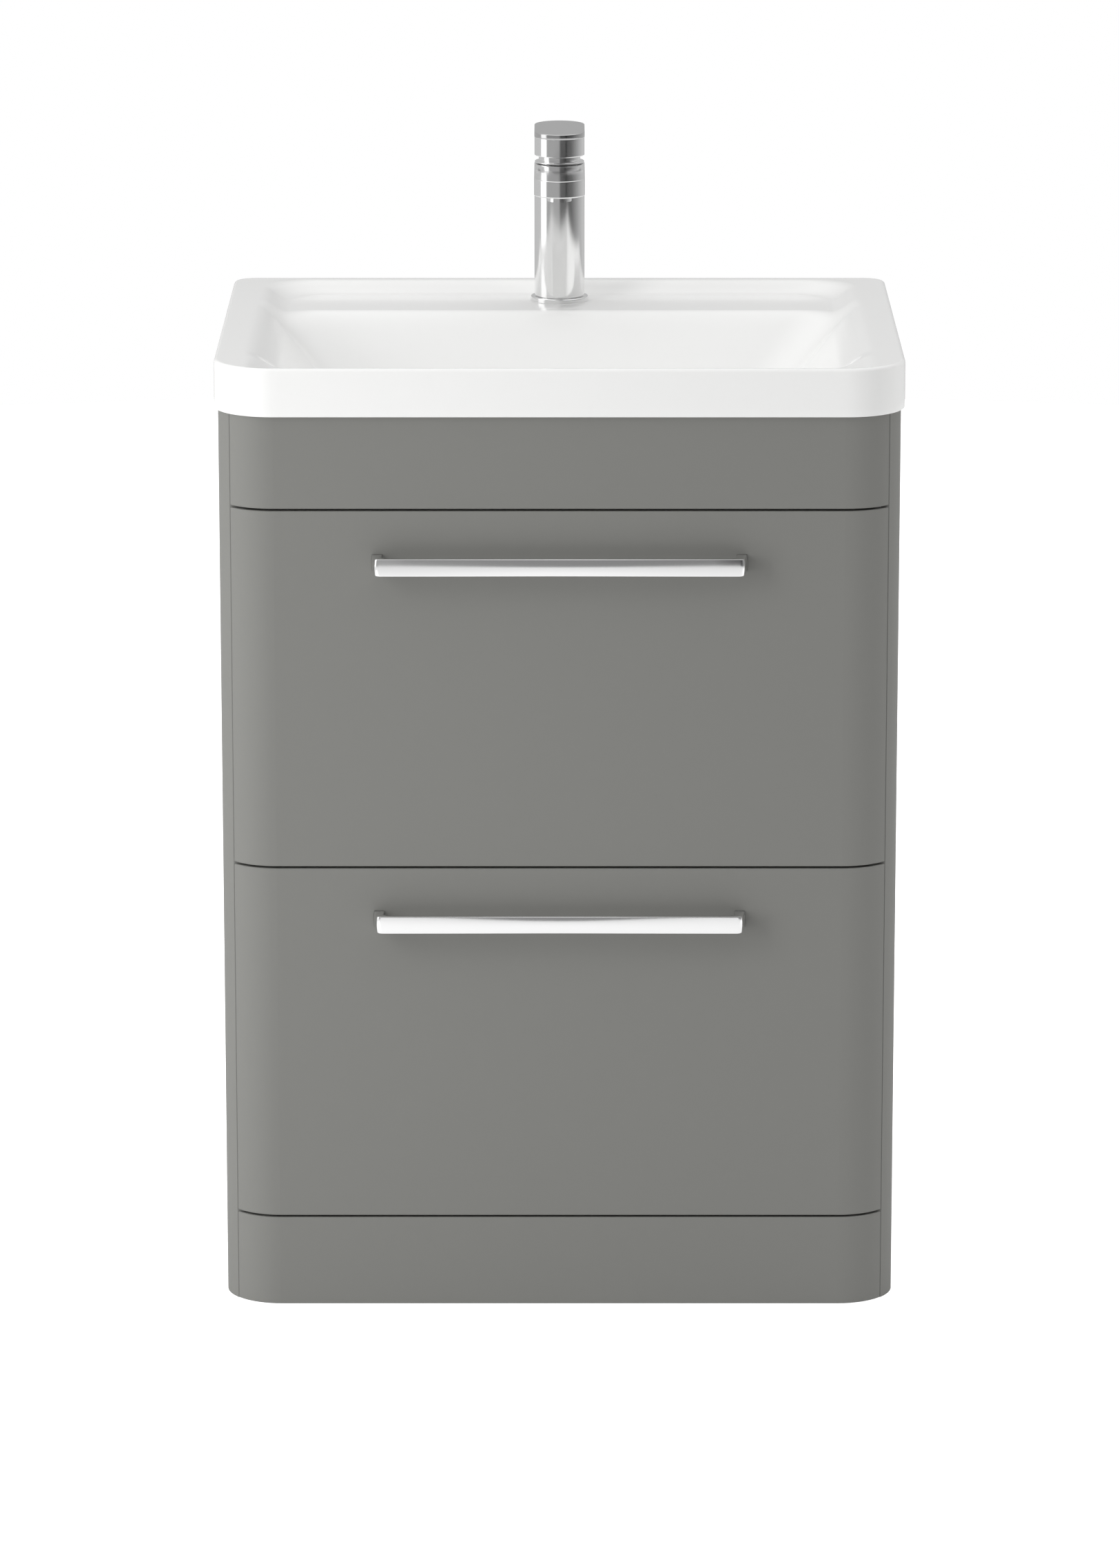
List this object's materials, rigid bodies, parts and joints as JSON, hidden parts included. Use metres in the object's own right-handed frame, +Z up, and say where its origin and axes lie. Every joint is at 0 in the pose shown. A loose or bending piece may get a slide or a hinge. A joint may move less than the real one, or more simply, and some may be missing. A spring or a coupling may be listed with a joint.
{
  "type": "bathroom vanity cabinet",
  "caption": "Floor-standing vanity cabinet with rounded front corners, drawers on runners, bar handles, a ceramic basin and a lever mixer tap.",
  "frame": {"origin": "on the floor, at the middle of the whole part's plan, handles included", "axes": "+Z up, the drawers open towards -Y, the wall is at +Y, X runs along the front"},
  "size_m": [0.6066, 0.493, 1.0067],
  "materials": {
    "painted_board": "satin grey paint on medium-density fibreboard",
    "carcass_board": "grey melamine-faced chipboard",
    "drawer_board": "light grey melamine-faced chipboard",
    "ceramic": "white glazed ceramic",
    "chrome": "polished chrome plate",
    "satin_chrome": "satin chrome plate",
    "runner_steel": "zinc-plated steel",
    "bare_steel": "steel",
    "grey_plastic": "moulded plastic",
    "rubber": "black rubber"
  },
  "bodies": {
    "carcass": {"side_panel_left": "painted_board", "side_panel_right": "painted_board", "plinth_panel": "painted_board", "top_fascia": "painted_board", "base_panel": "carcass_board", "plinth_rail": "carcass_board", "middle_rail": "carcass_board", "top_front_rail": "carcass_board", "wall_rail": "carcass_board", "lower_rear_rail": "carcass_board", "basin": "ceramic", "waste_body": "chrome", "waste_washer": "rubber", "waste_nut": "grey_plastic", "tap_base_ring": "chrome", "tap_body": "chrome", "tap_aerator": "chrome", "tap_cartridge": "grey_plastic", "tap_collar": "chrome", "tap_stud": "bare_steel", "tap_clamp": "bare_steel", "tap_nut": "bare_steel", "lower_runner_cabinet_left": "runner_steel", "lower_runner_cabinet_right": "runner_steel", "upper_runner_cabinet_left": "runner_steel", "upper_runner_cabinet_right": "runner_steel"},
    "lower_runner_middle": {"lower_runner_middle_left": "runner_steel", "lower_runner_middle_right": "runner_steel"},
    "upper_runner_middle": {"upper_runner_middle_left": "runner_steel", "upper_runner_middle_right": "runner_steel"},
    "lower_drawer": {"lower_drawer_front": "painted_board", "lower_handle": "chrome", "lower_handle_screws": "runner_steel", "lower_box_side_left": "drawer_board", "lower_box_side_right": "drawer_board", "lower_box_bottom": "drawer_board", "lower_box_back": "drawer_board", "lower_runner_drawer_left": "runner_steel", "lower_runner_drawer_right": "runner_steel"},
    "upper_drawer": {"upper_drawer_front": "painted_board", "upper_handle": "chrome", "upper_handle_screws": "runner_steel", "upper_box_side_left": "drawer_board", "upper_box_side_right": "drawer_board", "upper_box_bottom": "drawer_board", "upper_cut_out_front": "drawer_board", "upper_cut_out_left": "drawer_board", "upper_cut_out_right": "drawer_board", "upper_box_back_left": "drawer_board", "upper_box_back_right": "drawer_board", "upper_runner_drawer_left": "runner_steel", "upper_runner_drawer_right": "runner_steel"},
    "waste_plug": {"waste_plug": "chrome"},
    "tap_turning": {"tap_yoke": "bare_steel", "tap_pivot_pin": "bare_steel"},
    "tap_tilting": {"tap_spindle": "bare_steel", "tap_knob": "chrome", "tap_lever": "satin_chrome", "tap_grub_screw": "bare_steel"}
  },
  "joints": [
    {"name": "lower_drawer_slide", "type": "slide", "parent": "carcass", "child": "lower_drawer", "axis": [0, -1, 0], "range_m": [0, 0.4]},
    {"name": "lower_runner_slide", "type": "slide", "parent": "carcass", "child": "lower_runner_middle", "axis": [0, -1, 0], "range_m": [0, 0.2]},
    {"name": "upper_drawer_slide", "type": "slide", "parent": "carcass", "child": "upper_drawer", "axis": [0, -1, 0], "range_m": [0, 0.4]},
    {"name": "upper_runner_slide", "type": "slide", "parent": "carcass", "child": "upper_runner_middle", "axis": [0, -1, 0], "range_m": [0, 0.2]},
    {"name": "waste_plug_press", "type": "slide", "parent": "carcass", "child": "waste_plug", "axis": [0, 0, 1], "range_m": [0, 0.008]},
    {"name": "tap_turn", "type": "hinge", "parent": "carcass", "child": "tap_turning", "pos_m": [0, 0.1823, 0.9755], "axis": [0, 0, 1], "range_deg": [-45, 45]},
    {"name": "tap_lift", "type": "hinge", "parent": "tap_turning", "child": "tap_tilting", "pos_m": [0, 0.1823, 0.9755], "axis": [-1, 0, 0], "range_deg": [0, 12]}
  ],
  "couplings": [
    {"joint": "lower_runner_slide", "follows": "lower_drawer_slide", "ratio": 0.5},
    {"joint": "upper_runner_slide", "follows": "upper_drawer_slide", "ratio": 0.5}
  ]
}
